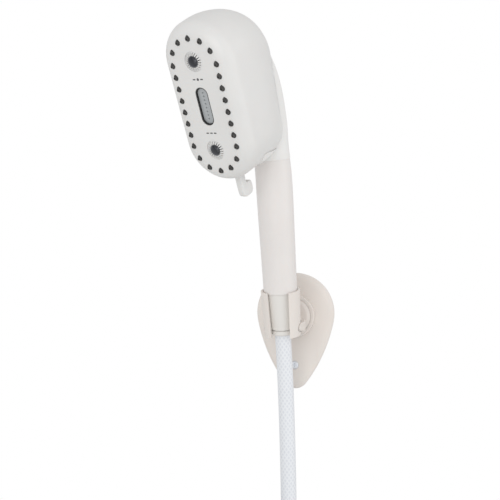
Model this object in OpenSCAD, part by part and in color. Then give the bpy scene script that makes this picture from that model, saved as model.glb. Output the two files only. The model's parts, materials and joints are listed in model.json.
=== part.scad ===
// Handheld shower head on a wall bracket, with its hose. Millimetres, +Z up.
// Origin: on the wall plane, behind the centre of the bracket's round boss.
// X runs to the right along the wall, Y runs into the wall.

/* [Handset pose] */
// Forward lean of the handle in its cradle, degrees
lean = 11.6; // [8:0.1:14]
// Turn of the handset about its own handle, degrees
turn = -17.6; // [-25:0.1:25]
// Tilt of the spray face against the handle, degrees
face_tilt = 16.3; // [15:0.1:18]

/* [Spray head] */
// Distance between two nozzles in a straight column
nozzle_pitch = 9.5; // [9.3:0.05:9.7]
// Distance from the centre line to a nozzle column
nozzle_col = 20.9; // [20.5:0.1:21.3]
// Nozzles in each straight column
nozzle_rows = 8; // [8:1:8]
// Radius of one rubber nozzle
nozzle_r = 2.2; // [2:0.05:2.4]
// Half width of the head
head_w = 32; // [31.5:0.1:32.5]
// Wall thickness of the moulded shells
wall = 2.6; // [2.4:0.1:2.8]
// Height of the two spray crowns above and below the centre
crown_z = 36.2; // [35.5:0.1:37]

/* [Handle] */
// Radius of the handle at its lower end
handle_r = 14.6; // [14.3:0.1:15]
// Radius of the inlet's threaded stub
stub_r = 10.45; // [10.4:0.05:10.5]

/* [Hose] */
// Outer diameter of the hose
hose_d = 14; // [14:1:14]
// Middle radius of the stored coil
coil_r = 70; // [70:1:70]
// Height of the coil's centre below the boss
coil_drop = 250; // [250:1:250]

/* [Bracket] */
// Radius of the plate's round top
plate_r = 36.3; // [35:0.1:38]
// Thickness of the base plate
plate_t = 5; // [4.5:0.1:5.5]
// Radius of the round boss
boss_r = 19.4; // [18.5:0.1:20]
// Outer radius of the cradle at its rim
cradle_r = 17.2; // [17:0.1:17.5]
// Half width of the cradle's slot at its rim
slot_w = 9.2; // [8.8:0.1:9.6]
// Turn of the cradle's slot away from straight ahead, degrees
slot_turn = 7; // [0:1:8]

/* [Hidden] */

ABS = "whitesmoke";
BRACKET = "linen";
RUBBER = "dimgray";
STEEL = "silver";

gap = 0.1;                        // clearance between pieces that touch
seat = [0, -49.8, 22.4];          // the handle's lower end, on the cradle's rim
ring_at = [0, -89.4, 169.3];      // centre of the nozzle ring, seen from the seat
nozzle_out = 1;                   // the ring's plane lies this far in front of the face
arc_z = nozzle_pitch * (nozzle_rows - 1) / 2;   // centre height of the ring's round ends
face_t = 3;                       // thickness of the face
fillet = 12;                      // radius of the soft edge round the face
inner_fillet = 6;                 // the same edge inside the shell
head_top = 66.6;                  // height of the head above the ring's centre
head_low = 65;                    // depth of the head below the ring's centre
insert_half = 9.7;                // half the straight part of the mist insert

// Outline of the head behind its soft edge: depth, half width, top, bottom
BOWL = [[24, 32, 67.2, 65], [37, 31.6, 65.6, 65], [49, 30.2, 62, 64.5], [59, 27.4, 56, 63.5],
        [67, 23.5, 48, 62], [74, 19.3, 38.5, 59], [80, 14.5, 28, 54], [84, 9, 20, 48]];
// Handle and spine: height, set back, half width, half depth
SPINE = [[2.2, 0, 14.6, 14.6], [30, 0, 14.9, 14.9], [60, 0, 15.3, 15.3], [90, 0, 15.6, 15.6],
         [105, -0.3, 15.7, 15.7], [118, -1.2, 15.9, 15.8], [130, -2.6, 16.2, 16],
         [145, -4.4, 16.6, 16], [160, -6.8, 17, 16], [175, -10.2, 17.2, 16],
         [190, -15.2, 17, 16], [203, -21.5, 16, 15.5], [214, -28.5, 14.5, 14],
         [223, -35, 12, 12], [229, -40, 9, 9]];
// Route of the hose from its ferrule down to the coil
ROUTE = [[0, -42.6, -12.9], [0, -39.1, -30], [0, -36.3, -45], [0, -33.9, -60], [0, -31.8, -75],
         [0, -30, -90], [0, -28.4, -105], [0, -27, -120], [0, -25.7, -135], [0, -24.6, -150],
         [0, -23.6, -165], [0, -22.4, -185], [0, -21.3, -205], [0, -20.4, -228], [0, -20, -250]];
layer = hose_d + 0.2;             // distance between two turns of the coil
turns = 3;                        // turns in the coil
coil_y = -20;                     // the first turn's distance from the wall
tail_y = coil_y - turns * layer;  // the tail hangs in front of the last turn
tail_len = 60;                    // bare hose between the coil and the tail's ferrule
nut_low = -31;                    // lower end of a hose nut, below its mouth
end_len = 36;                     // from a hose end's mouth to where the hose leaves it
tail_z = -coil_drop - tail_len - end_len;
pin_z = -30.4;                     // height of the cradle's pivot below the rim
pin_r = 1.6;                      // radius of the cradle's pins
pin_at = [0, seat[1] - pin_z * sin(lean), seat[2] + pin_z * cos(lean)];
rear = 84;                        // depth where the head's back opens into the handle
lever_z = -arc_z;                 // the lever turns about the centre of the head's lower end
port_up = 9.6;                    // the valve's inlet above the lever's axis
screw_r = 2.1;                    // radius of the wall screws where they enter the wall
screw_len = 26;                   // how far they reach into the wall
screw_tip = 4;                    // length of their points
WALL_SCREWS = [[10.5, -6], [-45, -3.6]];   // height of each wall screw, depth of its seat

module in_cradle() { translate(seat) rotate([lean, 0, 0]) children(); }
module in_handset() { in_cradle() rotate([0, 0, turn]) children(); }
module in_head() {
    in_handset() translate(ring_at) rotate([face_tilt, 0, 0]) translate([0, nozzle_out, 0])
        children();
}
// A flat plate whose front lies at depth y, with a drawing in width and height
module slab(y, t) { translate([0, y + t, 0]) rotate([90, 0, 0]) linear_extrude(t) children(); }
// A round bar along the depth, from depth y
module bar(y, len, r, r2 = -1) {
    end_r = r2 < 0 ? r : r2;
    translate([0, y, 0]) rotate([-90, 0, 0]) cylinder(h = len, r1 = r, r2 = end_r, $fn = 48);
}
module pill(w, half) {
    square([2 * w, 2 * half], center = true);
    for (s = [-1, 1]) translate([0, s * half]) circle(r = w, $fn = 64);
}

// Places of the nozzles: two columns and two round ends
function ring_places(r) = concat(
    [for (s = [-1, 1], i = [0 : nozzle_rows - 1]) [s * r, arc_z - i * nozzle_pitch]],
    [for (s = [-1, 1], a = [30 : 30 : 150]) [r * cos(a), s * (arc_z + r * sin(a))]]);
MANIFOLD_SCREWS = [[-13, 17], [13, 17], [-13, -17], [13, -17]];
COVER_SCREWS = [40, 140, 220, 320];   // angles round the lever's axis
cover_screw_r = 15.8;

// A closed skin through rings that have the same number of points
module skin(rings) {
    n = len(rings[0]);
    m = len(rings);
    sides = [for (i = [0 : m - 2], j = [0 : n - 1], t = [0, 1])
        let (a = i * n + j, b = i * n + (j + 1) % n)
        t == 0 ? [a, a + n, b] : [b, a + n, b + n]];
    caps = [[for (j = [0 : n - 1]) j], [for (j = [n - 1 : -1 : 0]) (m - 1) * n + j]];
    polyhedron(points = [for (r = rings) each r], faces = concat(sides, caps), convexity = 8);
}
// A ring of points round the head at depth y
function head_ring(y, w, top, low, n = 10) = concat(
    [for (i = [0 : n]) let (a = 180 * i / n) [-w * cos(a), y, top - w + w * sin(a)]],
    [for (i = [0 : n]) let (a = 180 + 180 * i / n) [-w * cos(a), y, -low + w + w * sin(a)]]);
function head_rings(inset, front, last) = let (edge = inset > 0 ? inner_fillet : fillet) concat(
    [for (a = [0 : 30 : 90]) let (in = inset + edge * (1 - sin(a)))
        head_ring(front + edge * (1 - cos(a)), head_w - in, head_top - in, head_low - in)],
    [for (b = BOWL) if (b[0] <= last) head_ring(b[0], b[1] - inset, b[2] - inset, b[3] - inset)]);
function turned(list) = [for (i = [len(list) - 1 : -1 : 0]) list[i]];
function spine_ring(s, inset, n = 24) = [for (j = [0 : n - 1]) let (a = 360 * j / n)
    [(s[2] - inset) * cos(a), s[1] + (s[3] - inset) * sin(a), s[0]]];
function spine_rings(inset, from, to) =
    [for (s = SPINE) if (s[0] >= from && s[0] <= to) spine_ring(s, inset)];

// ---- bracket ----

// The plate's outline: two circles joined by wide arcs that touch both
module teardrop(d) {
    big = plate_r;
    small = 12;
    low = -54.5;
    side = 140;
    top = 2.6;
    span = top - low;
    a = side - big;
    b = side - small;
    c = (a * a - b * b + span * span) / (2 * span);
    cx = sqrt(a * a - c * c);
    cz = top - c;
    t_top = top + (top - cz) * big / a;
    t_low = low + (low - cz) * small / b;
    translate([0, top]) circle(r = big - d, $fn = 128);
    translate([0, low]) circle(r = small - d, $fn = 64);
    intersection() {
        translate([-cx, cz]) circle(r = side - d, $fn = 200);
        translate([cx, cz]) circle(r = side - d, $fn = 200);
        translate([0, (t_top + t_low) / 2]) square([3 * big, t_top - t_low], center = true);
    }
}
module base_plate() {
    steps = [[0, 2.4], [0.5, 3.2], [1.2, 3.9], [2.2, 4.5], [3.6, plate_t]];
    color(BRACKET) difference() {
        union() {
            for (s = steps) slab(-s[1], s[1]) teardrop(s[0]);
            bar(-9, 9 - plate_t + 1, boss_r);
        }
        bar(-10, 2.5, 16.3);
        bar(-14, 11.5, 2.05);
        for (s = WALL_SCREWS) translate([0, 0, s[0]]) {
            bar(s[1] - 1, 2 - s[1], screw_r + 0.7);
            bar(s[1] - 2, 2.8, 4);
        }
    }
}
module base_screws() {
    color(STEEL) for (s = WALL_SCREWS) translate([0, 0, s[0]]) difference() {
        union() {
            bar(s[1] - 0.6, 1.4, 3.6);
            bar(s[1] - 1.4, 0.8, 2.8, 4);
            bar(s[1] + 0.7, -s[1] - 0.4, screw_r + 0.6);
            bar(0, screw_len - screw_tip, screw_r);
            bar(screw_len - screw_tip, screw_tip, screw_r, 0.4);
        }
        for (a = [0, 90]) rotate([0, a, 0])
            translate([-2.2, s[1] - 2, -0.4]) cube([4.4, 1.8, 0.8]);
    }
}
arm_in = 14.8;                    // the yoke's arms lie in the cradle's side pockets
arm_t = 2.4;
arm_r = 3.8;                      // radius of their round ends
module swivel_yoke() {
    arm_out = arm_in + arm_t;
    color(BRACKET) difference() {
        union() {
            bar(-9.6, 2, 16);
            bar(-11.2, 1.6, 13.4, 16);
            translate([0, 0, -3]) bar(-23, 12, 8.5);
            translate([-arm_out, -26, pin_at[2] - 5.5]) cube([2 * arm_out, 3.6, 11]);
            for (s = [-1, 1]) translate([s * (arm_in + arm_t / 2), pin_at[1], pin_at[2]]) {
                rotate([0, 90, 0]) cylinder(h = arm_t, r = arm_r, center = true, $fn = 48);
                translate([-arm_t / 2, 0, -arm_r]) cube([arm_t, -24 - pin_at[1], 2 * arm_r]);
            }
        }
        bar(-30, 25, 2.1);
        bar(-30, 10, 4.4);
        translate([0, pin_at[1], pin_at[2]]) rotate([0, 90, 0])
            cylinder(h = 60, r = pin_r + 0.02, center = true, $fn = 32);
    }
}
module swivel_screw() {
    color(STEEL) difference() {
        union() {
            bar(-22.6, 2.5, 4);
            bar(-20.2, 17, 2);
        }
        bar(-24, 2.6, 1.6);
    }
}
module cradle_pins() {
    color(BRACKET) for (s = [0, 1]) translate([0, pin_at[1], pin_at[2]]) mirror([s, 0, 0])
        rotate([0, 90, 0]) {
            translate([0, 0, 12.4]) cylinder(h = arm_in + arm_t - 12, r = pin_r, $fn = 32);
            translate([0, 0, arm_in + arm_t + gap]) cylinder(h = 1.4, r1 = 2.6, r2 = 2, $fn = 32);
        }
}
module cradle() {
    rim = 3.4;
    low = -37.6;
    step = 2.1;
    pocket = arm_in - 0.2;
    color(BRACKET) in_cradle() difference() {
        translate([0, 0, low]) cylinder(h = rim - low, r1 = cradle_r - 1.7, r2 = cradle_r, $fn = 96);
        translate([0, 0, step]) cylinder(h = 5, r = handle_r + 0.5, $fn = 96);
        translate([0, 0, pin_z]) cylinder(h = step + 0.1 - pin_z, r1 = 11, r2 = 13.6, $fn = 96);
        translate([0, 0, low - 1]) cylinder(h = pin_z - low + 1.1, r = 11, $fn = 96);
        rotate([0, 0, slot_turn]) translate([0, 0, low - 1]) rotate([90, 0, 0]) linear_extrude(30)
            polygon([[1 - slot_w, 0], [slot_w - 1, 0], [slot_w, 45], [-slot_w, 45]]);
        for (s = [-1, 1]) translate([s * (pocket + 5), 0, pin_z]) {
            rotate([0, 90, 0]) cylinder(h = 10, r = 4.9, center = true, $fn = 48);
            translate([0, 8, -2.5]) cube([10, 20, 16], center = true);
        }
        translate([0, 0, pin_z]) rotate([0, 90, 0])
            cylinder(h = 60, r = pin_r + 0.05, center = true, $fn = 32);
    }
}

// ---- spray head ----

module head_shell() {
    color(ABS) in_head() difference() {
        skin(concat(head_rings(0, 0, rear), turned(head_rings(wall, face_t, rear))));
        for (p = ring_places(nozzle_col)) translate([p[0], 0, p[1]]) bar(-1, 5, nozzle_r + gap);
        for (s = [-1, 1]) translate([0, 0, s * crown_z]) bar(-1, 5, 8);
        slab(-1, 5) pill(5.9, insert_half);
        lever_slot();
        rod(on_axis(110), on_axis(156), 9.3);
    }
    color(ABS) in_head() for (p = MANIFOLD_SCREWS) translate([p[0], 0, p[1]]) difference() {
        bar(face_t - 0.2, 5, 2.8);
        bar(face_t + 0.4, 5, 1.1);
    }
}
// The slot in the head's lower end, where the lever swings
module lever_slot() {
    translate([0, 18.5, lever_z]) rotate([-90, 0, 0]) rotate([0, 0, 90 - 34])
        rotate_extrude(angle = 68, $fn = 96) translate([26, 0]) square([12, 9]);
}
module handle_shell() {
    color(ABS) difference() {
        in_handset() skin(concat(spine_rings(0, 0, 229), turned(spine_rings(wall, 30, 223))));
        in_handset() translate([0, 0, -1]) cylinder(h = 32, r = 12.1, $fn = 64);
        in_head() skin(head_rings(-gap, -gap, rear));
    }
}
module nozzle_mat() {
    color(RUBBER) in_head() difference() {
        union() {
            slab(face_t + 0.2, 1.6) pill(23.7, arc_z);
            for (p = ring_places(nozzle_col)) translate([p[0], 0, p[1]]) {
                bar(-0.2, face_t + 1, nozzle_r);
                bar(-2.2, 2, 1.3, nozzle_r);
            }
        }
        for (s = [-1, 1]) translate([0, 0, s * crown_z]) bar(face_t - 1, 4, 9.2);
        slab(face_t - 1, 4) pill(7, insert_half);
        for (p = MANIFOLD_SCREWS) translate([p[0], 0, p[1]]) bar(face_t - 1, 4, 3.2);
        for (p = ring_places(nozzle_col)) translate([p[0], 0, p[1]]) bar(-3, 9, 0.6);
    }
}
// A spray crown: a ring with a serrated front and a deep round throat
module crown(z) {
    teeth = 20;
    color(ABS) in_head() translate([0, 0, z]) difference() {
        union() {
            bar(0.4, 7.6, 7.9);
            bar(-0.6, 1.2, 5.6, 6.2);
            bar(face_t + 0.2, 2, 9);
        }
        bar(-2, 12, 4.7);
        for (i = [0 : teeth - 1]) rotate([0, i * 360 / teeth, 0])
            translate([5.6, -1, -0.45]) cube([1.8, 2.6, 0.9]);
    }
}
module upper_crown() { crown(crown_z); }
module lower_crown() { crown(-crown_z); }
// The dark lining of a crown's throat, with the core at its bottom
module swirler(z) {
    color(RUBBER) in_head() translate([0, 0, z]) difference() {
        union() {
            difference() {
                bar(-0.2, 8.2, 4.6);
                bar(-1, 6, 4.2);
            }
            bar(2.6, 2.6, 0.8, 2.6);
        }
        for (i = [0 : 2]) rotate([0, i * 120, 0]) translate([3.4, 0, 0]) bar(4.5, 5, 0.7);
    }
}
module upper_swirler() { swirler(crown_z); }
module lower_swirler() { swirler(-crown_z); }
module mist_insert() {
    jets = 8;
    jet_pitch = 3.05;
    color("lightslategray") in_head() difference() {
        union() {
            slab(1.7, 3.4) pill(4.9, insert_half);
            slab(4.9, 1.2) pill(6.4, insert_half);
        }
        for (i = [0 : jets - 1]) translate([0, 0, (i - (jets - 1) / 2) * jet_pitch]) {
            bar(1, 6, 0.45);
            bar(1.3, 0.9, 0.9, 0.5);
        }
    }
}
module mist_seal() {
    color("black") in_head() difference() {
        union() {
            slab(0.2, 4.6) pill(5.8, insert_half);
            slab(face_t + 0.2, 1.4) pill(6.6, insert_half);
        }
        slab(-1, 7) pill(5, insert_half);
    }
}
module manifold_plate() {
    color("gainsboro") in_head() difference() {
        union() {
            slab(8.2, 2.4) pill(25.5, arc_z);
            difference() {
                slab(face_t + 2, 3.3) pill(25.5, arc_z);
                slab(face_t + 1, 6) pill(23.6, arc_z);
            }
            difference() {
                slab(face_t + 2, 3.3) pill(17.4, arc_z);
                slab(face_t + 1, 6) pill(15.8, arc_z);
            }
        }
        for (s = [-1, 1]) translate([0, 0, s * crown_z]) bar(8, 5, 3.4);
        bar(8, 5, 2.2);
        for (a = [-1, 1]) translate([a * 20.6, 0, lever_z]) bar(8, 5, 1.8);
        for (p = MANIFOLD_SCREWS) translate([p[0], 0, p[1]]) bar(face_t + 1, 9, 1.6);
    }
}
module self_tapper(y, len) {
    difference() {
        union() {
            bar(y, 1.6, 2.6, 2.2);
            bar(y - len, len, 1.05);
        }
        for (a = [0, 90]) rotate([0, a, 0])
            translate([-1.4, y + 0.8, -0.3]) cube([2.8, 1, 0.6]);
    }
}
module manifold_screws() {
    color(STEEL) in_head() for (p = MANIFOLD_SCREWS) translate([p[0], 0, p[1]])
        self_tapper(10.7, 7);
}
module diverter_body() {
    color("gainsboro") in_head() translate([0, 0, lever_z]) difference() {
        bar(10.8, 13.2, 17);
        bar(13.2, 12, 14.6);
        for (a = [30, 150, 270]) rotate([0, a, 0]) translate([8.6, 0, 0]) bar(10, 5, 2.6);
        for (a = COVER_SCREWS) rotate([0, a, 0]) translate([cover_screw_r, 0, 0]) bar(18, 8, 0.7);
    }
}
module diverter_seal() {
    color(RUBBER) in_head() translate([0, 0, lever_z]) difference() {
        bar(13.3, 1.4, 13.8);
        for (a = [30, 150, 270]) rotate([0, a, 0]) translate([8.6, 0, 0]) bar(12, 5, 2.4);
    }
}
module diverter_disc() {
    color("white") in_head() translate([0, 0, lever_z]) difference() {
        union() {
            bar(14.9, 4.6, 14);
            bar(19.4, 3, 5);
        }
        rotate([0, 270, 0]) translate([8.6, 0, 0]) bar(14, 7, 2.4);
        translate([-2.1, 17, -2.1]) cube([4.2, 8, 4.2]);
    }
}
module diverter_cover() {
    color("gainsboro") in_head() translate([0, 0, lever_z]) difference() {
        union() {
            bar(24.2, 3, 17);
            translate([0, 0, port_up]) bar(27, 5, 4.6);
        }
        bar(23, 5, 3.3);
        bar(24, 1.8, 4.9);
        translate([0, 0, port_up]) bar(23, 10, 3.2);
        for (a = COVER_SCREWS) rotate([0, a, 0]) translate([cover_screw_r, 0, 0]) bar(23, 6, 0.75);
    }
}
module cover_screws() {
    color(STEEL) in_head() translate([0, 0, lever_z]) for (a = COVER_SCREWS)
        rotate([0, a, 0]) translate([cover_screw_r, 0, 0]) {
            bar(27.3, 0.8, 1.2);
            bar(19, 8.4, 0.65);
        }
}
module lever_seal() {
    color(RUBBER) in_head() translate([0, 0, lever_z]) rotate([-90, 0, 0])
        translate([0, 0, 24.9]) rotate_extrude($fn = 48) translate([4, 0]) circle(r = 0.8, $fn = 24);
}
module selector_lever() {
    arm_w = 3.2;
    stem_w = 2.6;
    paddle_w = 6;
    color(ABS) in_head() {
        translate([0, 0, lever_z]) {
            translate([-2, 17.4, -2]) cube([4, 7, 4]);
            bar(23.4, 7.6, 3.15);
            bar(28.2, 2.8, 3.4);
        }
        translate([-arm_w, 28.2, -59]) cube([2 * arm_w, 2.8, 59 + lever_z]);
        translate([-arm_w, 19.4, -60]) cube([2 * arm_w, 11.6, 3.4]);
        translate([-stem_w, 19.4, -72]) cube([2 * stem_w, 5.2, 14.4]);
        difference() {
            rotate([90, 0, 90]) linear_extrude(paddle_w, center = true) paddle();
            translate([0, 0, lever_z]) bar(10, 30, 32.4);
        }
    }
}
// Side view of the lever's paddle: it hooks back under the head
module paddle() {
    low = -86.8;
    translate([17.8, low + 4.5]) square([6.8, 20]);
    translate([22.3, low + 4.5]) circle(r = 4.5, $fn = 64);
    translate([22.3, low]) square([4.6, 10]);
    translate([26.9, low + 5]) circle(r = 5, $fn = 64);
    translate([24, low + 5]) square([7.9, 2.4]);
    translate([27.4, low + 7.4]) circle(r = 4.5, $fn = 64);
}
// A round bar between two points of the middle plane, given as depth and height
module rod(from, to, r) {
    d = to - from;
    translate([0, from[0], from[1]]) rotate([atan2(-d[0], d[1]), 0, 0])
        cylinder(h = norm(d), r = r, $fn = 48);
}
module knot(at, r) { translate([0, at[0], at[1]]) sphere(r = r, $fn = 48); }
// The handle's axis seen from the head: depth and height at a height on the handle
function on_axis(z) = let (up = z - ring_at[2]) [
    -ring_at[1] * cos(face_tilt) + up * sin(face_tilt) - nozzle_out,
    ring_at[1] * sin(face_tilt) + up * cos(face_tilt)];
module water_elbow() {
    port = lever_z + port_up;
    bend = [46, port];
    color("gainsboro") in_head() difference() {
        union() {
            rod(on_axis(128), on_axis(143), 8.4);
            knot(on_axis(143), 8.9);
            rod(on_axis(143), bend, 5.4);
            knot(bend, 6);
            rod([33, port], bend, 5.4);
            rod([27.4, port], [33.2, port], 5.8);
        }
        rod(on_axis(127), on_axis(137), 6.6);
        rod(on_axis(136), on_axis(143), 4.2);
        knot(on_axis(143), 4.6);
        rod(on_axis(143), bend, 3.4);
        knot(bend, 3.8);
        rod([30, port], bend, 3.4);
        rod([27, port], [32.1, port], 4.7);
    }
}
module water_tube() {
    color("gainsboro") in_handset() difference() {
        translate([0, 0, 10]) cylinder(h = 126, r = 6.5, $fn = 48);
        translate([0, 0, 9]) cylinder(h = 128, r = 4.6, $fn = 48);
        for (z = [13.5, 132.5]) translate([0, 0, z]) difference() {
            cylinder(h = 1.4, r = 8, center = true, $fn = 48);
            cylinder(h = 2, r = 5.5, center = true, $fn = 48);
        }
    }
}
module tube_seals() {
    color(RUBBER) in_handset() for (z = [13.5, 132.5]) translate([0, 0, z])
        rotate_extrude($fn = 48) translate([6.04, 0]) circle(r = 0.5, $fn = 24);
}
module thread(r, from, to) {
    for (z = [from : 1.8 : to - 1]) translate([0, 0, z])
        rotate_extrude($fn = 64) polygon([[r - 2, -0.1], [r - 0.9, -0.1], [r, 0.5], [r, 0.8],
                                          [r - 0.9, 1.4], [r - 2, 1.4]]);
}
module inlet_fitting() {
    color("gainsboro") in_handset() difference() {
        union() {
            translate([0, 0, -13]) cylinder(h = 14, r = stub_r - 0.85, $fn = 64);
            thread(stub_r, -12.4, -1);
            translate([0, 0, 0.4]) cylinder(h = 16, r = 12, $fn = 64);
        }
        translate([0, 0, -14]) cylinder(h = 9.5, r = 7.2, $fn = 48);
        translate([0, 0, -6]) cylinder(h = 30, r = 4.6, $fn = 48);
        translate([0, 0, 9.8]) cylinder(h = 10, r = 6.6, $fn = 48);
    }
}
module flow_restrictor() {
    color("seagreen") in_handset() difference() {
        translate([0, 0, -9]) cylinder(h = 4.2, r = 7.1, $fn = 48);
        for (i = [0 : 5]) rotate([0, 0, 60 * i])
            translate([3.6, 0, -10]) cylinder(h = 7, r = 0.9, $fn = 24);
        translate([0, 0, -10]) cylinder(h = 2, r = 5.4, $fn = 48);
    }
}

// ---- hose ends: the mouth is at the origin and the hose leaves below it ----

module washer_shape() {
    translate([0, 0, -15.3]) difference() {
        cylinder(h = 2.2, r = 9.3, $fn = 48);
        translate([0, 0, -1]) cylinder(h = 4, r = 6, $fn = 48);
    }
}
module nut_shape() {
    difference() {
        translate([0, 0, nut_low]) cylinder(h = 1.9 - nut_low, r1 = 10.6, r2 = 13.2, $fn = 96);
        translate([0, 0, -0.2]) cylinder(h = 4, r = 12.15, $fn = 64);
        translate([0, 0, -13.2]) cylinder(h = 14, r = stub_r + 0.1, $fn = 64);
        translate([0, 0, -17.9]) cylinder(h = 6, r = 9.7, $fn = 64);
        translate([0, 0, -34]) cylinder(h = 18, r = 8.5, $fn = 64);
    }
}
module barb_shape() {
    difference() {
        union() {
            translate([0, 0, -17.6]) cylinder(h = 2.2, r = 9.4, $fn = 48);
            translate([0, 0, gap - end_len]) cylinder(h = 19, r = 4.6, $fn = 48);
        }
        translate([0, 0, -40]) cylinder(h = 30, r = 3.4, $fn = 48);
    }
}
module ferrule_shape() {
    bead_r = 10.2;
    difference() {
        union() {
            translate([0, 0, nut_low - 1]) cylinder(h = 14.2, r = 8.3, $fn = 64);
            translate([0, 0, -end_len]) cylinder(h = 0.8, r1 = bead_r - 0.8, r2 = bead_r, $fn = 64);
            translate([0, 0, 0.8 - end_len]) cylinder(h = 3, r = bead_r, $fn = 64);
            translate([0, 0, 3.8 - end_len]) cylinder(h = 0.8, r1 = bead_r, r2 = bead_r - 0.8, $fn = 64);
        }
        translate([0, 0, -end_len - 1]) cylinder(h = 30, r = 4.65, $fn = 48);
    }
}
module at_tail() { translate([0, tail_y, tail_z]) rotate([180, 0, 0]) children(); }
module screen_washer() {
    color(RUBBER) in_handset() washer_shape();
    color(STEEL) in_handset() for (a = [0, 90], k = [-4 : 2 : 4]) rotate([0, 0, a])
        translate([k - 0.15, -5.9, -14.4]) cube([0.3, 11.8, 0.3]);
}
module hose_nut() { color(ABS) in_handset() nut_shape(); }
module hose_barb() { color("goldenrod") in_handset() barb_shape(); }
module hose_ferrule() { color(ABS) in_handset() ferrule_shape(); }
module tail_nut() { color(ABS) at_tail() nut_shape(); }
module tail_barb() { color("goldenrod") at_tail() barb_shape(); }
module tail_ferrule() { color(ABS) at_tail() ferrule_shape(); }
module tail_washer() { color(RUBBER) at_tail() washer_shape(); }

// ---- hose ----

function unit(v) = v / norm(v);
function hose_ring(i, n = 12) = let (
        back = ROUTE[max(i - 1, 0)],
        fore = ROUTE[min(i + 1, len(ROUTE) - 1)],
        along = i == 0 ? [0, sin(lean), -cos(lean)] : unit(fore - back),
        side = [1, 0, 0],
        out = cross(along, side))
    [for (j = [0 : n - 1]) let (a = 360 * j / n)
        ROUTE[i] + hose_d / 2 * (cos(a) * side + sin(a) * out)];
module hose() { color("aliceblue") skin([for (i = [0 : len(ROUTE) - 1]) hose_ring(i)]); }
module hose_coil() {
    thick = (turns + 1) * layer - 0.2;
    color("aliceblue") translate([-coil_r, coil_y + hose_d / 2, -coil_drop]) rotate([90, 0, 0])
        rotate_extrude($fn = 96) translate([coil_r - hose_d / 2, 0]) {
            translate([3, 0]) square([hose_d - 6, thick]);
            translate([0, 3]) square([hose_d, thick - 6]);
            for (x = [3, hose_d - 3], y = [3, thick - 3]) translate([x, y]) circle(r = 3, $fn = 32);
        }
}
module coil_ties() {
    thick = (turns + 1) * layer - 0.2;
    in_w = hose_d + 0.6;
    in_y = thick + 0.6;
    middle = [-coil_r, coil_y + hose_d / 2 - thick / 2, -coil_drop];
    color(RUBBER) for (a = [0, 120, 240])
        translate(middle) rotate([0, a, 0]) translate([-coil_r, 0, 0]) difference() {
            cube([in_w + 2, in_y + 2, 9], center = true);
            cube([in_w, in_y, 10], center = true);
        }
}
module hose_tail() {
    color("aliceblue") translate([0, tail_y, -coil_drop - tail_len])
        cylinder(h = tail_len, r = hose_d / 2, $fn = 48);
}

base_plate();
base_screws();
swivel_yoke();
swivel_screw();
cradle_pins();
cradle();
head_shell();
handle_shell();
nozzle_mat();
upper_crown();
lower_crown();
upper_swirler();
lower_swirler();
mist_insert();
mist_seal();
manifold_plate();
manifold_screws();
diverter_body();
diverter_seal();
diverter_disc();
diverter_cover();
cover_screws();
selector_lever();
lever_seal();
water_elbow();
water_tube();
tube_seals();
inlet_fitting();
flow_restrictor();
screen_washer();
hose_nut();
hose_barb();
hose_ferrule();
hose();
hose_coil();
coil_ties();
hose_tail();
tail_ferrule();
tail_barb();
tail_nut();
tail_washer();
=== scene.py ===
"""A handheld shower head in its wall cradle, with its hose. Metres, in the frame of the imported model."""

import json
import math

import bmesh
import bpy
from mathutils import Matrix, Vector


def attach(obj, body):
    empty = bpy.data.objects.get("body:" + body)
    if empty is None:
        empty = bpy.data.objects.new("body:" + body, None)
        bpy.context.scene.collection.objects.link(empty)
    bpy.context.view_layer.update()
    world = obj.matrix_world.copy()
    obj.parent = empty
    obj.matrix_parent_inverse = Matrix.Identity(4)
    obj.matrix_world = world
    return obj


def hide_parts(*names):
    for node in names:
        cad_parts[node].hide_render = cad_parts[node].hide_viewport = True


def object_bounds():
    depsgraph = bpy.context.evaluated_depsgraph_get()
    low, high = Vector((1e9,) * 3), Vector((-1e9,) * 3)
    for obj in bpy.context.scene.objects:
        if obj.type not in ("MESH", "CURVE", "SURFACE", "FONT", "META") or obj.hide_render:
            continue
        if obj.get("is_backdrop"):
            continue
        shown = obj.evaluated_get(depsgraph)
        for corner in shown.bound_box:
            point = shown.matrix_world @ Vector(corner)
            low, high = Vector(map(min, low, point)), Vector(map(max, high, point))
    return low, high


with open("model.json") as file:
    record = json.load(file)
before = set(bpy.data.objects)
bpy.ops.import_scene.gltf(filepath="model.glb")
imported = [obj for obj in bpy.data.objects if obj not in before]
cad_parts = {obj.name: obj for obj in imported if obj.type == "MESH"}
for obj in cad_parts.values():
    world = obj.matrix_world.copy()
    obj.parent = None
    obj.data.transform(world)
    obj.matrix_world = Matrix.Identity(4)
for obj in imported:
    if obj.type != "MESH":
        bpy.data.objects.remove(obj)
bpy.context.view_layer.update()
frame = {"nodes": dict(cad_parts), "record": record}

MM = 0.001
IN_MM = Matrix.Scale(MM, 4)


def shift(x, y, z):
    return Matrix.Translation((x, y, z))


def turn(degrees, axis):
    return Matrix.Rotation(math.radians(degrees), 4, axis)


# ---- places, as in the CAD model: each turns a drawing in millimetres into the frame ----

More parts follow.
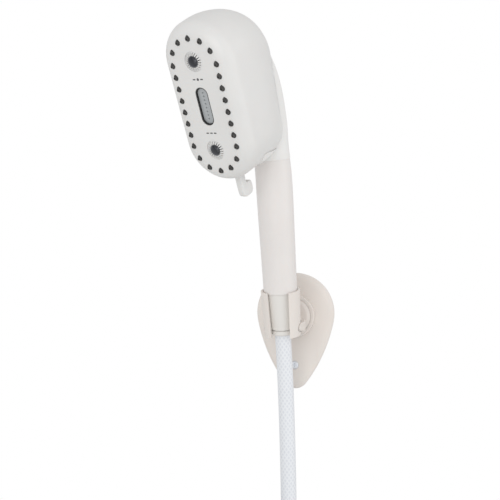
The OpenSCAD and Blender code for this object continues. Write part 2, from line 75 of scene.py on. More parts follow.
LEAN = 11.6
WORLD = IN_MM
CUP = IN_MM @ shift(0, -49.8, 22.4) @ turn(LEAN, "X")
HANDSET = CUP @ turn(-17.6, "Z")
RING = (0, -89.4, 169.3)
FACE_TILT = 16.3
HEAD = HANDSET @ shift(*RING) @ turn(FACE_TILT, "X") @ shift(0, 1, 0)
PITCH = 9.5
NOZZLE_COLUMN = 20.9
ROWS = 8
ARC_Z = PITCH * (ROWS - 1) / 2
CROWN_Z = 36.2
HOSE_D = 14.0
COIL_R = 70.0
COIL_DROP = 250.0
COIL_TURNS = 3
LAYER = HOSE_D + 0.2
COIL_Y = -20.0
TAIL_Y = COIL_Y - COIL_TURNS * LAYER
TAIL_LEN = 60.0
END_LEN = 36.0
TAIL = IN_MM @ shift(0, TAIL_Y, -COIL_DROP - TAIL_LEN - END_LEN) @ turn(180, "X")


# ---- mesh tools ----

SHARP_ANGLE = 38


def smooth(piece):
    piece.data.shade_smooth()
    piece.data.set_sharp_from_angle(angle=math.radians(SHARP_ANGLE))
    return piece


def piece_of(name, points, faces, place):
    mesh = bpy.data.meshes.new(name)
    mesh.from_pydata([place @ Vector(p) for p in points], [], faces)
    mesh.validate()
    work = bmesh.new()
    work.from_mesh(mesh)
    bmesh.ops.recalc_face_normals(work, faces=work.faces)
    work.to_mesh(mesh)
    work.free()
    piece = bpy.data.objects.new(name, mesh)
    bpy.context.scene.collection.objects.link(piece)
    return smooth(piece)


def skin(name, rings, place, loop=False):
    """A closed skin through rings of equally many points; loop joins the last ring to the first."""
    n, m = len(rings[0]), len(rings)
    faces = []
    for i in range(m if loop else m - 1):
        a, b = i * n, (i + 1) % m * n
        faces += [(a + j, b + j, b + (j + 1) % n, a + (j + 1) % n) for j in range(n)]
    if not loop:
        faces += [tuple(range(n)), tuple(reversed(range((m - 1) * n, m * n)))]
    return piece_of(name, [p for ring in rings for p in ring], faces, place)


def rounded(corners):
    """A 2D outline from (u, v, radius) corners, each rounded to its radius."""
    out = []
    n = len(corners)
    for i, (u, v, radius) in enumerate(corners):
        here = Vector((u, v))
        if radius == 0:
            out.append((u, v))
            continue
        back = Vector(corners[i - 1][:2]) - here
        fore = Vector(corners[(i + 1) % n][:2]) - here
        half = back.angle(fore) / 2
        reach = min(radius / math.tan(half), 0.49 * back.length, 0.49 * fore.length)
        start, end = here + back.normalized() * reach, here + fore.normalized() * reach
        steps = 6
        for k in range(steps + 1):
            t = k / steps
            bend = (1 - t) ** 2 * start + 2 * t * (1 - t) * here + t * t * end
            out.append((bend.x, bend.y))
    return out


def lathe(name, corners, place, axis="Z", sides=96):
    """A closed outline of (radius, height, rounding) corners, turned about an axis."""
    rings = []
    for radius, height in rounded(corners):
        ring = []
        for j in range(sides):
            a = 2 * math.pi * j / sides
            c, s = max(radius, 0.01) * math.cos(a), max(radius, 0.01) * math.sin(a)
            ring.append((c, s, height) if axis == "Z" else (c, height, s))
        rings.append(ring)
    return skin(name, rings, place, loop=True)


def pill(w, half, y):
    """A stadium's points at one depth: half width w, arc centres half above and below."""
    turns = [math.pi * i / 24 for i in range(25)]
    top = [(-w * math.cos(a), y, half + w * math.sin(a)) for a in turns]
    low = [(w * math.cos(a), y, -half - w * math.sin(a)) for a in turns]
    return top + low


def bar(x, y, z, r, length, sides=32):
    """The rings of a round bar along the depth, from depth y."""
    turns = [-2 * math.pi * j / sides for j in range(sides)]
    return [[(x + r * math.cos(a), h, z + r * math.sin(a)) for a in turns] for h in (y, y + length)]


def prism(outline, low, high, turned=None):
    """The rings of a flat outline of (u, v) points pushed from low to high, laid out by turned."""
    lay = turned or (lambda u, v, w: (u, w, v))
    return [[lay(u, v, w) for u, v in outline] for w in (low, high)]


def arc(u, v, r, start, end, step):
    """Points round (u, v), at every step degrees from start up to end."""
    turns = [math.radians(a) for a in range(start, end, step)]
    return [(u + r * math.cos(a), v + r * math.sin(a)) for a in turns]


def sideways(u, v, w):
    """Depth, height and width, for an outline drawn in side view."""
    return (w, u, v)


def box(x, y, z, w, d, h):
    """The rings of a box round a middle point."""
    return prism([(x - w / 2, z - h / 2), (x + w / 2, z - h / 2), (x + w / 2, z + h / 2),
                  (x - w / 2, z + h / 2)], y - d / 2, y + d / 2)


def settle(piece):
    """Turns a piece's modifiers into its own mesh."""
    graph = bpy.context.evaluated_depsgraph_get()
    mesh = bpy.data.meshes.new_from_object(piece.evaluated_get(graph))
    piece.modifiers.clear()
    piece.data = mesh


def carve(piece, cutters, operation="DIFFERENCE"):
    """Cuts (or joins) other solids, then removes them."""
    for cutter in cutters:
        step = piece.modifiers.new("carve", "BOOLEAN")
        step.operation = operation
        step.solver = "EXACT"
        step.object = cutter
    settle(piece)
    for cutter in cutters:
        bpy.data.objects.remove(cutter)
    return smooth(piece)


def joined(name, parts):
    """Several closed solids as one piece."""
    points, faces = [], []
    for part in parts:
        base = len(points)
        points += [v.co.copy() for v in part.data.vertices]
        faces += [tuple(base + k for k in f.vertices) for f in part.data.polygons]
        bpy.data.objects.remove(part)
    return piece_of(name, points, faces, Matrix.Identity(4))


def bevel(piece, width, segments=3, angle=32):
    step = piece.modifiers.new("edges", "BEVEL")
    step.width = width * MM
    step.segments = segments
    step.limit_method = "ANGLE"
    step.angle_limit = math.radians(angle)
    step.harden_normals = True
    return piece


def eased(rows, step):
    """Rows of numbers, the first rising, filled in with a smooth curve at every step."""
    out = []
    last = len(rows) - 1
    for i in range(last):
        span = rows[i + 1][0] - rows[i][0]
        count = max(1, round(span / step))
        for k in range(count):
            t = k / count
            row = []
            for c in range(len(rows[0])):
                def slope(j):
                    a, b = rows[max(j - 1, 0)], rows[min(j + 1, last)]
                    return (b[c] - a[c]) / (b[0] - a[0]) * span
                h = (2 * t**3 - 3 * t**2 + 1, t**3 - 2 * t**2 + t, 3 * t**2 - 2 * t**3, t**3 - t**2)
                row.append(h[0] * rows[i][c] + h[1] * slope(i) + h[2] * rows[i + 1][c] + h[3] * slope(i + 1))
            out.append(row)
    return out + [list(rows[-1])]


# ---- materials ----

class Nodes:
    """A material's node tree, with short names for what the materials below are made of."""

    def __init__(self, name):
        self.material = bpy.data.materials.new(name)
        self.material.use_nodes = True
        self.tree = self.material.node_tree
        self.shader = self.tree.nodes["Principled BSDF"]
        self.place = self.tree.nodes.new("ShaderNodeTexCoord").outputs["Object"]

    def add(self, kind, **inputs):
        node = self.tree.nodes.new(kind)
        for key, value in inputs.items():
            self.set(node, key.replace("_", " "), value)
        return node

    def set(self, node, key, value):
        socket = node.inputs[key] if isinstance(key, str) else key
        if isinstance(value, bpy.types.NodeSocket):
            self.tree.links.new(value, socket)
        else:
            socket.default_value = value

    def noise(self, scale, detail, rough=0.5):
        node = self.add("ShaderNodeTexNoise", Scale=scale, Detail=detail, Roughness=rough)
        self.set(node, "Vector", self.place)
        return node.outputs["Fac"]

    def span(self, value, low, high, start=0.0, end=1.0):
        node = self.add("ShaderNodeMapRange", Value=value)
        for key, number in (("From Min", start), ("From Max", end), ("To Min", low), ("To Max", high)):
            self.set(node, key, number)
        return node.outputs["Result"]

    def math(self, operation, a, b=0.0):
        node = self.tree.nodes.new("ShaderNodeMath")
        node.operation = operation
        self.set(node, node.inputs[0], a)
        self.set(node, node.inputs[1], b)
        return node.outputs[0]

    def mix(self, amount, first, second):
        node = self.tree.nodes.new("ShaderNodeMix")
        node.data_type = "RGBA"
        self.set(node, node.inputs["Factor"], amount)
        self.set(node, node.inputs[6], first)
        self.set(node, node.inputs[7], second)
        return node.outputs[2]

    def bump(self, height, strength, distance, under=None):
        node = self.add("ShaderNodeBump", Strength=strength, Distance=distance, Height=height)
        if under:
            self.set(node, "Normal", under)
        return node.outputs["Normal"]


def rgb(r, g, b):
    return (r, g, b, 1.0)


def plastic(name, light, shade, rough, under=0.0):
    """Moulded plastic: a slow drift between two close colours, fine grain and a faint flow of the surface."""
    n = Nodes(name)
    drift = n.span(n.noise(22.0, 2.0), 0.0, 1.0, 0.35, 0.65)
    n.set(n.shader, "Base Color", n.mix(drift, light, shade))
    n.set(n.shader, "Roughness", n.span(n.noise(900.0, 4.0), rough - 0.05, rough + 0.06, 0.3, 0.7))
    flow = n.bump(n.noise(60.0, 1.0), 0.12, 0.0004)
    n.set(n.shader, "Normal", n.bump(n.noise(5200.0, 2.0), 0.06, 0.00005, flow))
    n.shader.inputs["Specular IOR Level"].default_value = 0.5
    if under:
        n.shader.inputs["Subsurface Weight"].default_value = under
        n.shader.inputs["Subsurface Radius"].default_value = (0.004, 0.003, 0.0025)
        n.shader.inputs["Subsurface Scale"].default_value = 1.0
    return n.material


def rubber(name, light, shade, rough=0.6):
    n = Nodes(name)
    dust = n.span(n.noise(350.0, 5.0, 0.65), 0.0, 1.0, 0.4, 0.68)
    n.set(n.shader, "Base Color", n.mix(dust, shade, light))
    n.set(n.shader, "Roughness", n.span(n.noise(1500.0, 3.0), rough - 0.08, rough + 0.1, 0.3, 0.7))
    n.set(n.shader, "Normal", n.bump(n.noise(4200.0, 4.0), 0.25, 0.00006))
    return n.material


def metal(name, light, shade, rough=0.28):
    """Turned metal: rings of tool marks across it and a little handling dulling."""
    n = Nodes(name)
    marks = n.tree.nodes.new("ShaderNodeTexWave")
    marks.wave_type = "RINGS"
    n.set(marks, "Vector", n.place)
    n.set(marks, "Scale", 900.0)
    n.set(marks, "Distortion", 1.5)
    dull = n.span(n.noise(240.0, 5.0), 0.0, 1.0, 0.35, 0.7)
    n.set(n.shader, "Base Color", n.mix(dull, light, shade))
    n.shader.inputs["Metallic"].default_value = 1.0
    n.set(n.shader, "Roughness", n.span(dull, rough, rough + 0.18))
    n.set(n.shader, "Normal", n.bump(marks.outputs["Fac"], 0.12, 0.00003))
    return n.material


def hose_skin(name, light, groove):
    """A white sleeve over a fine braid: strands cross on both diagonals, following the hose."""
    n = Nodes(name)
    way = n.add("ShaderNodeUVMap")
    way.uv_map = "along"
    split = n.add("ShaderNodeSeparateXYZ", Vector=way.outputs["UV"])
    around = n.math("MULTIPLY", split.outputs["X"], 12 * 2 * math.pi)
    along = n.math("MULTIPLY", split.outputs["Y"], 2 * math.pi / 0.0052)
    right = n.math("SINE", n.math("ADD", around, along))
    left = n.math("SINE", n.math("SUBTRACT", around, along))
    strand = n.span(n.math("MAXIMUM", right, left), 0.0, 1.0, -0.3, 0.9)
    tint = n.span(n.noise(90.0, 2.0), -0.12, 0.12, 0.3, 0.7)
    n.set(n.shader, "Base Color", n.mix(n.math("ADD", strand, tint), groove, light))
    n.set(n.shader, "Roughness", n.span(n.noise(1200.0, 3.0), 0.3, 0.42, 0.3, 0.7))
    n.set(n.shader, "Normal", n.bump(strand, 0.35, 0.00015))
    n.shader.inputs["Coat Weight"].default_value = 0.25
    n.shader.inputs["Coat Roughness"].default_value = 0.25
    return n.material


WHITE = plastic("white_abs", rgb(0.765, 0.757, 0.745), rgb(0.735, 0.727, 0.715), rough=0.36, under=0.08)
# The neck's white is a lighter copy of the head's white plastic: painted light on the spine and the lip,
# which sets them apart from the darker head.
NECK_WHITE_PAINTED_LIGHTER = plastic("neck_white_painted_lighter", rgb(0.86, 0.85, 0.835), rgb(0.835, 0.825, 0.81), rough=0.36, under=0.08)
GRIP_WHITE = plastic("grip_white", rgb(0.81, 0.775, 0.755), rgb(0.785, 0.75, 0.73), rough=0.34, under=0.06)
CUP_WHITE = plastic("bracket_white", rgb(0.80, 0.75, 0.705), rgb(0.775, 0.722, 0.68), rough=0.42, under=0.05)
NUT_WHITE = plastic("nut_white", rgb(0.79, 0.77, 0.74), rgb(0.76, 0.74, 0.71), rough=0.34)
INNER = plastic("inner_plastic", rgb(0.62, 0.62, 0.60), rgb(0.57, 0.57, 0.55), rough=0.45)
GREEN = plastic("limiter_green", rgb(0.12, 0.36, 0.2), rgb(0.1, 0.31, 0.17), rough=0.4)
INSERT = plastic("insert_grey", rgb(0.44, 0.46, 0.47), rgb(0.40, 0.42, 0.43), rough=0.33)
NOZZLE = rubber("nozzle_rubber", rgb(0.075, 0.073, 0.070), rgb(0.042, 0.041, 0.040), 0.5)
BLACK = rubber("black_rubber", rgb(0.03, 0.03, 0.03), rgb(0.014, 0.014, 0.014), 0.5)
STEEL = metal("screw_steel", rgb(0.95, 0.97, 1.0), rgb(0.86, 0.89, 0.94), 0.34)
BRASS = metal("barb_brass", rgb(0.72, 0.55, 0.26), rgb(0.6, 0.45, 0.2), 0.3)
HOSE = hose_skin("hose_skin", rgb(0.84, 0.86, 0.89), rgb(0.73, 0.755, 0.80))
# Dark grey for the crowns' throat lining: painted shade for the depth of the hole.
THROAT_PAINTED_SHADE = plastic("throat_painted_shade_grey", rgb(0.17, 0.175, 0.19), rgb(0.14, 0.145, 0.16), rough=0.42)
MARK = plastic("print_grey", rgb(0.11, 0.11, 0.115), rgb(0.085, 0.085, 0.09), rough=0.5)

BY_SLOT = {
    "bracket_plastic": CUP_WHITE, "white_abs": WHITE, "white_nut": NUT_WHITE, "nozzle_rubber": NOZZLE,
    "black_rubber": BLACK, "insert_grey": INSERT, "inner_plastic": INNER, "limiter_green": GREEN,
    "screw_steel": STEEL, "barb_brass": BRASS, "hose_skin": HOSE,
}
SLOT_OF = {s["node"]: s["material_slot"] for s in frame["record"]["subparts"]}
BODY_OF = {node: body for body, nodes in frame["record"]["behaviour"]["bodies"].items() for node in nodes}


def finished(piece, *nodes, material=None):
    """Gives a piece its material, its body and the CAD nodes it stands for, all from the first node."""
    slot = SLOT_OF[nodes[0]]
    piece.data.materials.clear()
    piece.data.materials.append(material or BY_SLOT[slot])
    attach(piece, BODY_OF[nodes[0]])
    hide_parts(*nodes)
    return piece


# ---- camera ----

CAMERA_AT = Vector((257.1, -927.1, 68.8)) * MM
CAMERA_AZIMUTH = 18.0
CAMERA_DOWN = 0.54

eye = bpy.data.cameras.new("camera")
eye.lens = 75.7
eye.sensor_width = 36
camera = bpy.data.objects.new("camera", eye)
bpy.context.scene.collection.objects.link(camera)
camera.location = CAMERA_AT
camera.rotation_euler = (math.radians(90 - CAMERA_DOWN), 0, math.radians(CAMERA_AZIMUTH))
bpy.context.scene.camera = camera


# ---- hose ----

ROUTE = [
    (0, -42.6, -12.9), (0, -39.1, -30), (0, -36.3, -45), (0, -33.9, -60), (0, -31.8, -75), (0, -30, -90),
    (0, -28.4, -105), (0, -27, -120), (0, -25.7, -135), (0, -24.6, -150), (0, -23.6, -165),
    (0, -22.4, -185), (0, -21.3, -205), (0, -20.4, -228), (0, -20, -250),
]
COIL_STEPS = 36
coil = [
    (COIL_R * (math.cos(a) - 1), COIL_Y - LAYER * k / COIL_STEPS, -COIL_DROP - COIL_R * math.sin(a))
    for k in range(1, COIL_TURNS * COIL_STEPS + 1)
    for a in [2 * math.pi * k / COIL_STEPS]
]
tail = [(0, TAIL_Y, -COIL_DROP - TAIL_LEN * k / 4) for k in range(1, 5)]
hose_path = [Vector(p) for p in ROUTE + coil + tail]


def smooth_path(points, step):
    """Points along a smooth curve through the given ones."""
    out = []
    for i in range(len(points) - 1):
        a, b = points[max(i - 1, 0)], points[i]
        c, d = points[i + 1], points[min(i + 2, len(points) - 1)]
        count = max(1, round((c - b).length / step))
        for k in range(count):
            t = k / count
            out.append(0.5 * (2 * b + (c - a) * t + (2 * a - 5 * b + 4 * c - d) * t * t
                              + (3 * b - a - 3 * c + d) * t**3))
    return out + [points[-1]]


def tube(name, points, r, sides, place):
    """A round tube along a path, with a map of how far along and round it each face lies."""
    rings, across = [], Vector((1, 0, 0))
    for i, here in enumerate(points):
        way = (points[min(i + 1, len(points) - 1)] - points[max(i - 1, 0)]).normalized()
        across = (across - way * across.dot(way)).normalized()
        other = way.cross(across)
        rings.append([here + r * (math.cos(2 * math.pi * j / sides) * across
                                  + math.sin(2 * math.pi * j / sides) * other) for j in range(sides)])
    piece = skin(name, rings, place)
    far = [0.0]
    for i in range(1, len(points)):
        far.append(far[-1] + (points[i] - points[i - 1]).length * MM)
    around = piece.data.uv_layers.new(name="along")
    for face in piece.data.polygons:
        corners = [piece.data.loops[k].vertex_index for k in face.loop_indices]
        wraps = len(corners) == 4 and {v % sides for v in corners} == {0, sides - 1}
        for k, v in zip(face.loop_indices, corners):
            u = v % sides / sides
            around.data[k].uv = (1.0 if wraps and u == 0 else u, far[v // sides])
    return piece


hose = tube("hose_tube", smooth_path(hose_path, 2.5), HOSE_D / 2, 40, WORLD)
finished(hose, "hose", "hose_coil", "hose_tail")


# ---- spray head and handle ----

FACE_T = 3.0
WALL = 2.6
HEAD_W, HEAD_TOP, HEAD_LOW, FILLET = 32.0, 66.2, 65.0, 12.0
# Depth, half width at the top, top, bottom, half width at the bottom
BOWL = [
    (12, 32, 66.2, 65, 32), (24, 32, 66.7, 65, 32), (37, 31.6, 65.1, 65, 31.2),
    (49, 30.2, 61.6, 64.5, 28.8), (59, 27.4, 56, 63.5, 24.8), (67, 23.2, 47.7, 62, 19.6),
    (74, 18.8, 38.2, 59, 14.4), (80, 14, 27.8, 54, 9.4), (84, 8.8, 19.8, 48, 5.8),
]
# Height, set back, half width, half depth
SPINE = [
    (118, -1.7, 15.9, 15.5), (130, -3.2, 16, 15.6), (145, -4.4, 16.6, 16), (160, -6.8, 17, 16),
    (175, -10.2, 17.2, 16), (190, -15.2, 17, 16), (203, -21.5, 16, 15.5), (214, -28.5, 14.5, 14),
    (223, -35, 12, 12), (229, -40, 9, 9),
]
GRIP = [(2.2, 0, 14.6, 14.6), (30, 0, 14.9, 14.9), (60, 0, 15.3, 15.3), (90, 0, 15.6, 15.6),
        (105, -0.3, 15.5, 15.4), (118, -1.2, 15.3, 15.2)]


def stadium(y, w, top, low, foot, n=40):
    """A ring at depth y, round at both ends: half width w at the top and foot at the bottom."""
    turns = [math.pi * i / n for i in range(n + 1)]
    upper = [(-w * math.cos(a), y, top - w + w * math.sin(a)) for a in turns]
    lower = [(foot * math.cos(a), y, -low + foot - foot * math.sin(a)) for a in turns]
    return upper + lower


def bowl(inset=0.0, front=0.0, edge=FILLET):
    """The head's rings from its face to its back, thinner by inset and starting at depth front."""
    rings = []
    for k in range(17):
        a = math.pi / 2 * k / 16
        by = inset + edge * (1 - math.sin(a))
        y, w = front + edge * (1 - math.cos(a)), HEAD_W - by
        rings.append(stadium(y, w, HEAD_TOP - by, HEAD_LOW - by, w))
    for y, w, top, low, foot in eased(BOWL, 2.0):
        if y > front + edge + 0.5:
            rings.append(stadium(y, w - inset, top - inset, low - inset, foot - inset))
    return rings


def nozzle_places():
    for side in (-1, 1):
        for i in range(ROWS):
            yield side * NOZZLE_COLUMN, ARC_Z - i * PITCH
        for a in range(30, 180, 30):
            yield (NOZZLE_COLUMN * math.cos(math.radians(a)),
                   side * (ARC_Z + NOZZLE_COLUMN * math.sin(math.radians(a))))


def drop(r, y, tip=1.22):
    """A round outline with a soft point at the top, tip radii above its middle."""
    ring = []
    for j in range(36):
        a = 2 * math.pi * j / 36
        c, s = math.cos(a), math.sin(a)
        pull = max(0.0, s) ** 3
        ring.append((r * c * (1 - 0.35 * pull), y, r * (s + (tip - 1) * pull)))
    return ring


def at(ring, x, z):
    return [(px + x, py, pz + z) for px, py, pz in ring]


def spun(rings, degrees):
    """Rings turned about the depth axis."""
    c, s = math.cos(math.radians(degrees)), math.sin(math.radians(degrees))
    return [[(x * c + z * s, y, z * c - x * s) for x, y, z in ring] for ring in rings]


def raised(rings, z):
    return [at(ring, 0, z) for ring in rings]


LEVER_Z = -ARC_Z
INSERT_HALF = 9.7
slot = [(r * math.sin(math.radians(a)), LEVER_Z - r * math.cos(math.radians(a)))
        for r, angles in ((26, range(-34, 35, 4)), (38, range(34, -35, -4))) for a in angles]

head = skin("head_moulding", bowl() + bowl(WALL, FACE_T, 6.0)[::-1], HEAD)
cutters = [skin("cut", [at(drop(2.35, y), x, z) for y in (-2, 4.5)], HEAD) for x, z in nozzle_places()]
cutters += [skin("cut", bar(0, -2, z, 8.0, 7, 64), HEAD) for z in (CROWN_Z, -CROWN_Z)]
cutters += [skin("cut", [pill(5.9, INSERT_HALF, y) for y in (-2, 5)], HEAD)]
cutters += [skin("cut", prism(slot, 18.5, 27.5), HEAD)]
head = carve(head, [joined("cuts", cutters)])
finished(head, "head_shell")


def around(row, inset=0.0):
    """The handle's ring for a row of its shape, thinner by inset."""
    z, back, w, d = row
    turns = [2 * math.pi * j / 72 for j in range(72)]
    return [((w - inset) * math.cos(a), back + (d - inset) * math.sin(a), z) for a in turns]


COLLAR = [(117.9, -1.2, 15.3, 15.2), (118.0, -1.6, 15.7, 15.3), (118.5, -1.7, 15.95, 15.55),
          (126, -2.8, 15.9, 15.5)]
RIM_Z = 117.95
CREASE, LIP = 129.0, 0.8
outside = [around(row) for row in eased(GRIP, 4.0)[:-1] + COLLAR + eased(SPINE, 3.0)[4:]]
inside = [around(row, WALL) for row in eased(GRIP, 8.0) + eased(SPINE, 5.0)[1:] if 30 <= row[0] <= 223]
handle = skin("handle_moulding", outside + inside[::-1], HANDSET)
bore = lathe("cut", [(0, -1, 0), (12.1, -1, 0), (12.1, 31, 0), (0, 31, 0)], HANDSET)
handle = carve(handle, [bore, skin("cut", bowl(-0.1, -0.1), HEAD)])

# The neck laps round the head's lower end: a thin lip that fades out towards the face
lip = []
for y, w, top, low, foot in eased(BOWL, 2.0):
    if y > 19:
        by = LIP * min(1.0, (y - 15) / 12)
        lip.append(stadium(y, w + by, top + by, low + by, foot + by, 80))
lip = skin("lip", lip, HEAD)
beyond = rounded([(-55.5, CREASE, 9), (30, CREASE, 0), (30, 95, 0), (-36, 95, 0), (-36, 111, 3)])
lip = carve(lip, [skin("cut", prism(beyond, -45, 45, sideways), HANDSET)], "INTERSECT")
lip = carve(lip, [skin("cut", bowl(0.6, -0.2), HEAD)])
handle = joined("handle_and_neck", [handle, lip])
# The neck, spine and lip take the lighter white, which is painted light; the head keeps the darker white_abs.
finished(handle, "handle_shell", material=NECK_WHITE_PAINTED_LIGHTER)
# Faces below the rim take the grip's white; those above keep the neck's painted-lighter white.
handle.data.materials.append(GRIP_WHITE)
to_handset = HANDSET.inverted()
for face in handle.data.polygons:
    face.material_index = int((to_handset @ face.center).z < RIM_Z)

# The rubber mat with its nozzles
teats = []
for x, z in nozzle_places():
    rows = [at(drop(2.1, y), x, z) for y in (4.0, 0.1)] + [at(drop(1.95, -0.15), x, z)]
    rows += [at(drop(r, y, 1.1), x, z)
             for r, y in ((1.5, -0.2), (1.4, -1.2), (1.2, -1.5), (0.65, -1.5), (0.5, 1.5))]
    teats.append(skin("teat", rows, HEAD))
mat = skin("mat", [pill(23.7, ARC_Z, y) for y in (3.2, 4.8)], HEAD)
holes = [skin("cut", bar(0, 2, z, 9.2, 4, 48), HEAD) for z in (CROWN_Z, -CROWN_Z)]
holes += [skin("cut", [pill(7.0, INSERT_HALF, y) for y in (2, 6)], HEAD)]
holes += [skin("cut", bar(x, 2, z, 3.2, 4), HEAD) for x in (-13, 13) for z in (-17, 17)]
mat = carve(mat, [joined("cuts", holes)])
finished(joined("nozzle_set", teats + [mat]), "nozzle_mat")

# The two crowns: a serrated ring round a deep throat, whose lining is painted dark grey as shade deep in the
# hole
CROWN = [
    (4.7, 8.0, 0), (4.7, -0.7, 0.2), (5.3, -0.9, 0.3), (6.3, -0.4, 0.6), (7.2, 0.35, 0.6),
    (7.9, 0.4, 0.3), (7.9, 3.2, 0), (9.0, 3.2, 0.2), (9.0, 5.2, 0.2), (7.9, 5.2, 0), (7.9, 8.0, 0),
]
LINING = [
    (4.2, 5.0, 0), (4.2, -0.3, 0.1), (4.62, -0.5, 0.15), (4.62, 8.0, 0), (0, 8.0, 0),
    (0, 2.6, 0), (0.8, 2.6, 0.3), (2.6, 5.0, 0),
]
TEETH = 20
for side, z in (("upper", CROWN_Z), ("lower", -CROWN_Z)):
    there = HEAD @ shift(0, 0, z)
    crown = lathe(side + "_crown_ring", CROWN, there, "Y")
    tooth_gap = box(5.75, 0.1, 0, 2.7, 3.0, 0.85)
    gaps = [skin("cut", raised(spun(tooth_gap, (i + 0.5) * 360 / TEETH), z), HEAD) for i in range(TEETH)]
    finished(carve(crown, [joined("cuts", gaps)]), side + "_crown")
    # The swirler gets the dark throat grey instead of its slot's plastic: painted shade.
    finished(lathe("lining", LINING, there, "Y", 64), side + "_swirler", material=THROAT_PAINTED_SHADE)

# The pill-shaped insert and the black seal round it
seal_rows = [pill(w, INSERT_HALF, y) for w, y in (
    (5.0, 4.8), (5.0, 0.5), (5.1, 0.3), (5.35, 0.2), (5.65, 0.25), (5.82, 0.45), (5.82, 3.2), (6.6, 3.2),
    (6.6, 4.6), (5.8, 4.6), (5.8, 4.8))]
finished(skin("mist_seal_ring", seal_rows, HEAD, loop=True), "mist_seal")
plate_rows = [pill(w, INSERT_HALF, y) for w, y in (
    (4.6, 1.7), (4.85, 1.8), (4.93, 2.0), (4.93, 4.9), (6.4, 4.9), (6.4, 6.1))]
jets = []
for i in range(8):
    z = (i - 3.5) * 3.05
    rows = [bar(0, y, z, r, 0.1, 20)[0] for r, y in ((0.95, 1.5), (0.8, 1.75), (0.5, 2.2), (0.45, 7.0))]
    jets.append(skin("cut", rows, HEAD))
finished(carve(skin("mist_plate", plate_rows, HEAD), [joined("cuts", jets)]), "mist_insert")

# Small printed signs for the two sprays: a row of dashes above and below the insert
SIGN_Z = 22.0
for name, z, places in (("upper_sign", SIGN_Z, (-3.6, 3.6)), ("lower_sign", -SIGN_Z, (-3.6, 0.0, 3.6))):
    strokes = []
    for x in places:
        corners = [(x - 1.3, z - 0.5), (x + 1.3, z - 0.5), (x + 1.3, z + 0.5), (x - 1.3, z + 0.5)]
        dash = rounded([(u, v, 0.5) for u, v in corners])
        strokes.append(skin("dash", prism(dash, -0.04, 0.3), HEAD))
    if name == "upper_sign":
        strokes.append(skin("dot", bar(0, -0.04, z, 1.1, 0.34), HEAD))
    sign = joined(name, strokes)
    sign.data.materials.append(MARK)
    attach(sign, "handset")

# The lever: a hooked paddle on a stem that passes through the slot
side_view = rounded([(17.8, -64, 0), (17.8, -86.8, 5.5), (31.9, -86.8, 5.5), (31.9, -75.2, 5.0),
                     (24.6, -75.2, 2.2), (24.6, -64, 0)])
paddle = skin("paddle", prism(side_view, -3, 3, sideways), HEAD)
paddle = carve(paddle, [skin("cut", raised(bar(0, 5, 0, 32.4, 40, 128), LEVER_Z), HEAD)])
settle(bevel(paddle, 1.5, 4, 40))
stem = [skin("stem", box(*part), HEAD) for part in (
    (0, 22.0, -64.8, 5.2, 5.2, 14.4), (0, 25.2, -58.3, 6.4, 11.6, 3.4),
    (0, 29.6, (LEVER_Z - 59) / 2, 6.4, 2.8, 59 + LEVER_Z), (0, 20.9, LEVER_Z, 4, 7, 4))]
stem.append(skin("hub", raised(bar(0, 23.4, 0, 3.15, 7.6), LEVER_Z), HEAD))
finished(joined("lever_paddle", [paddle] + stem), "selector_lever")


# ---- cradle ----

RIM, STEP, CUP_LOW, PIN_Z = 3.4, 2.1, -37.6, -30.4
SLOT_TURN = 7.0
ARM_IN, ARM_OUT = 12.8, 15.4
cup = lathe("cup", [
    (17.2, RIM, 0.9), (15.5, CUP_LOW, 1.0), (11.0, CUP_LOW, 0.8), (11.0, PIN_Z, 0), (13.6, STEP, 0.3),
    (15.1, STEP, 0), (15.1, RIM, 0.6)], CUP, sides=144)
jaw = [(-8.2, -40), (8.2, -40), (9.2, 6), (-9.2, 6)]
cuts = [skin("cut", prism(jaw, -30, 0), CUP @ turn(SLOT_TURN, "Z"))]
# Each side has a notch in which the yoke's arm lies, open to the back
notch = arc(0, PIN_Z, 4.1, 90, 271, 10) + [(5, PIN_Z - 5.6), (18, PIN_Z - 13), (18, PIN_Z + 5)]
for side in (-1, 1):
    deep = side * (ARM_IN - 0.2)
    cuts.append(skin("cut", prism(notch, deep, deep + side * 12, sideways), CUP))
cuts.append(skin("cut", prism(arc(0, PIN_Z, 1.65, 0, 360, 15), -30, 30, sideways), CUP))
for cut in cuts:
    cup = carve(cup, [cut])
bevel(cup, 0.8, 3, 40)
finished(cup, "cradle")


# ---- bracket ----

PLATE_R, PLATE_TOP, TIP_R, TIP_Z, SIDE_R = 36.3, 2.6, 12.0, -54.5, 140.0


def teardrop(inset, y):
    """The plate's outline: a round top and a round tip joined by wide arcs that touch both."""
    span, a, b = PLATE_TOP - TIP_Z, SIDE_R - PLATE_R, SIDE_R - TIP_R
    c = (a * a - b * b + span * span) / (2 * span)
    cx, cz = math.sqrt(a * a - c * c), PLATE_TOP - c
    high, low = math.atan2(PLATE_TOP - cz, cx), math.atan2(TIP_Z - cz, cx)
    ring = []
    for x, z, r, start, end, steps in (
            (0, PLATE_TOP, PLATE_R, high, math.pi - high, 40),
            (cx, cz, SIDE_R, math.pi - high, math.pi - low, 40),
            (0, TIP_Z, TIP_R, math.pi - low, 2 * math.pi + low, 24),
            (-cx, cz, SIDE_R, low, high, 40)):
        for k in range(steps):
            t = start + (end - start) * k / steps
            ring.append((x + (r - inset) * math.cos(t), y, z + (r - inset) * math.sin(t)))
    return ring


# How far in the outline lies at each height above the wall
PLATE_EDGE = [
    (0.4, 0), (0, 0.4), (0, 2.0), (0.15, 2.7), (0.6, 3.4), (1.3, 4.0), (2.2, 4.45), (3.4, 4.75),
    (5.0, 4.93), (7.0, 5.0),
]
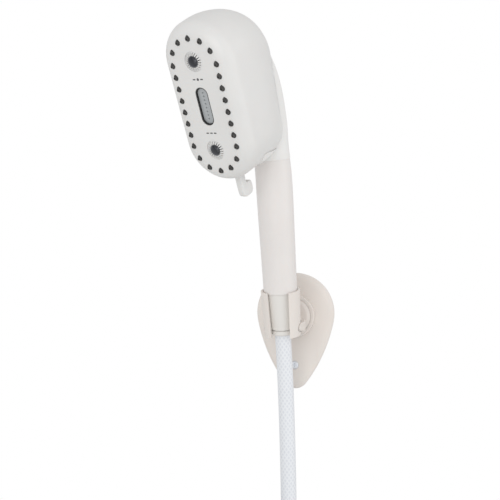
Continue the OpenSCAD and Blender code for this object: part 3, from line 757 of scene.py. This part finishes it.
# Height and seat depth of each wall screw
SCREW_HOLES = [(10.5, -6.0), (-45, -3.6)]
plate = skin("plate", [teardrop(inset, -y) for inset, y in PLATE_EDGE], WORLD)
plate = carve(plate, [skin("cut", bar(0, -8, z, 2.8, 10), WORLD) for z, seat in SCREW_HOLES])
plate = carve(plate, [skin("cut", bar(0, seat - 3, z, 4.0, 3.8, 48), WORLD) for z, seat in SCREW_HOLES])
BOSS_R, RECESS_R, BOSS_FRONT, RECESS_FLOOR = 19.4, 16.15, -9.0, -7.5
boss = lathe("boss", [
    (BOSS_R, -4.2, 0), (BOSS_R, BOSS_FRONT, 0.9), (RECESS_R, BOSS_FRONT, 0.3), (RECESS_R, RECESS_FLOOR, 0),
    (2.05, RECESS_FLOOR, 0), (2.05, -4.2, 0)], WORLD, "Y", 128)
finished(joined("wall_plate", [plate, boss]), "base_plate")
bevel(frame["nodes"]["base_screws"], 0.35, 2, 40)

# The yoke: a soft disc on the boss, a short neck and two arms that end round the cradle's pins
PIN_Y, PIN_UP = -43.69, -7.38
disc = lathe("disc", [
    (2.1, -7.6, 0), (16.0, -7.6, 0), (16.0, -9.3, 0.7), (13.2, -11.1, 2.5), (2.1, -11.2, 0)],
    WORLD, "Y", 128)
arm = arc(PIN_Y, PIN_UP, 2.8, 90, 271, 10) + [(-23, PIN_UP - 4.6), (-23, PIN_UP + 4.6)]
yoke = [disc, skin("neck", bar(0, -23, -3, 8.5, 12.5, 64), WORLD),
        skin("bridge", box(0, -24.2, PIN_UP, 30, 3.6, 10.4), WORLD)]
yoke += [skin("arm", prism(arm, side * ARM_IN, side * ARM_OUT, sideways), WORLD) for side in (-1, 1)]
finished(bevel(joined("yoke_disc_and_arms", yoke), 0.5, 3, 40), "swivel_yoke")
PIN = [(0, 11.7, 0), (1.6, 11.7, 0), (1.6, ARM_OUT, 0), (2.8, ARM_OUT + 0.05, 0.1), (2.8, 16.6, 0.9),
       (0, 17.1, 0)]
at_pins = CUP @ shift(0, 0, PIN_Z)
pins = [lathe("pin", PIN, at_pins @ turn(side * 90, "Y"), sides=48) for side in (-1, 1)]
finished(joined("cradle_pin_heads", pins), "cradle_pins")


# ---- hose ends ----

NUT = [
    (13.2, 1.9, 0.8), (10.6, -31.0, 0.8), (8.5, -31.0, 0.3), (8.5, -17.9, 0), (9.7, -17.9, 0),
    (9.7, -13.2, 0), (10.55, -13.2, 0), (10.55, -0.2, 0.3), (12.15, -0.2, 0), (12.15, 1.9, 0.2),
]
FERRULE = [
    (4.65, -17.8, 0), (8.3, -17.8, 0.3), (8.3, -31.4, 0), (9.5, -31.7, 0.4), (10.2, -32.6, 1.2),
    (10.2, -34.9, 1.2), (9.3, -END_LEN, 0.7), (4.65, -END_LEN, 0),
]
for place, nut, ferrule in ((HANDSET, "hose_nut", "hose_ferrule"), (TAIL, "tail_nut", "tail_ferrule")):
    finished(lathe(nut + "_cone", NUT, place), nut)
    finished(lathe(ferrule + "_bead", FERRULE, place), ferrule)


# ---- pieces that keep their CAD shape ----

for name, node in frame["nodes"].items():
    if SLOT_OF[name] in BY_SLOT and not node.hide_render:
        node.data.materials.clear()
        node.data.materials.append(BY_SLOT[SLOT_OF[name]])


# ---- light and floor ----

def lamp(name, at_mm, aim_mm, size, power):
    data = bpy.data.lights.new(name, "AREA")
    data.size = size
    data.energy = power
    light = bpy.data.objects.new(name, data)
    bpy.context.scene.collection.objects.link(light)
    light.location = Vector(at_mm) * MM
    light.rotation_euler = (Vector(aim_mm) - Vector(at_mm)).to_track_quat("-Z", "Y").to_euler()


lamp("key", (80, -1200, 150), (0, -60, 40), 0.7, 3)
lamp("fill", (900, -150, 200), (0, -60, 40), 1.0, 1.6)

FLOOR_R, FLOOR_LOW, FLOOR_TOP = 1100, -450, -440
turns = [2 * math.pi * j / 96 for j in range(96)]
rim = [(FLOOR_R * math.cos(a), FLOOR_R * math.sin(a) - 50) for a in turns]
floor = skin("floor", [[(x, y, z) for x, y in rim] for z in (FLOOR_LOW, FLOOR_TOP)], WORLD)
floor.data.materials.append(plastic("pale_floor", rgb(0.82, 0.82, 0.81), rgb(0.79, 0.79, 0.78), rough=0.6))
floor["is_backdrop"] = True

world = bpy.data.worlds.new("studio")
bpy.context.scene.world = world
world.use_nodes = True
sky = world.node_tree
rays = sky.nodes.new("ShaderNodeLightPath").outputs["Is Camera Ray"]
level = sky.nodes.new("ShaderNodeMapRange")
level.inputs["To Min"].default_value = 0.75
level.inputs["To Max"].default_value = 1.0
sky.links.new(rays, level.inputs["Value"])
sky.nodes["Background"].inputs["Color"].default_value = (1, 1, 1, 1)
sky.links.new(level.outputs["Result"], sky.nodes["Background"].inputs["Strength"])
bpy.context.scene.view_settings.view_transform = "Standard"

bpy.context.view_layer.update()
low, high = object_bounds()
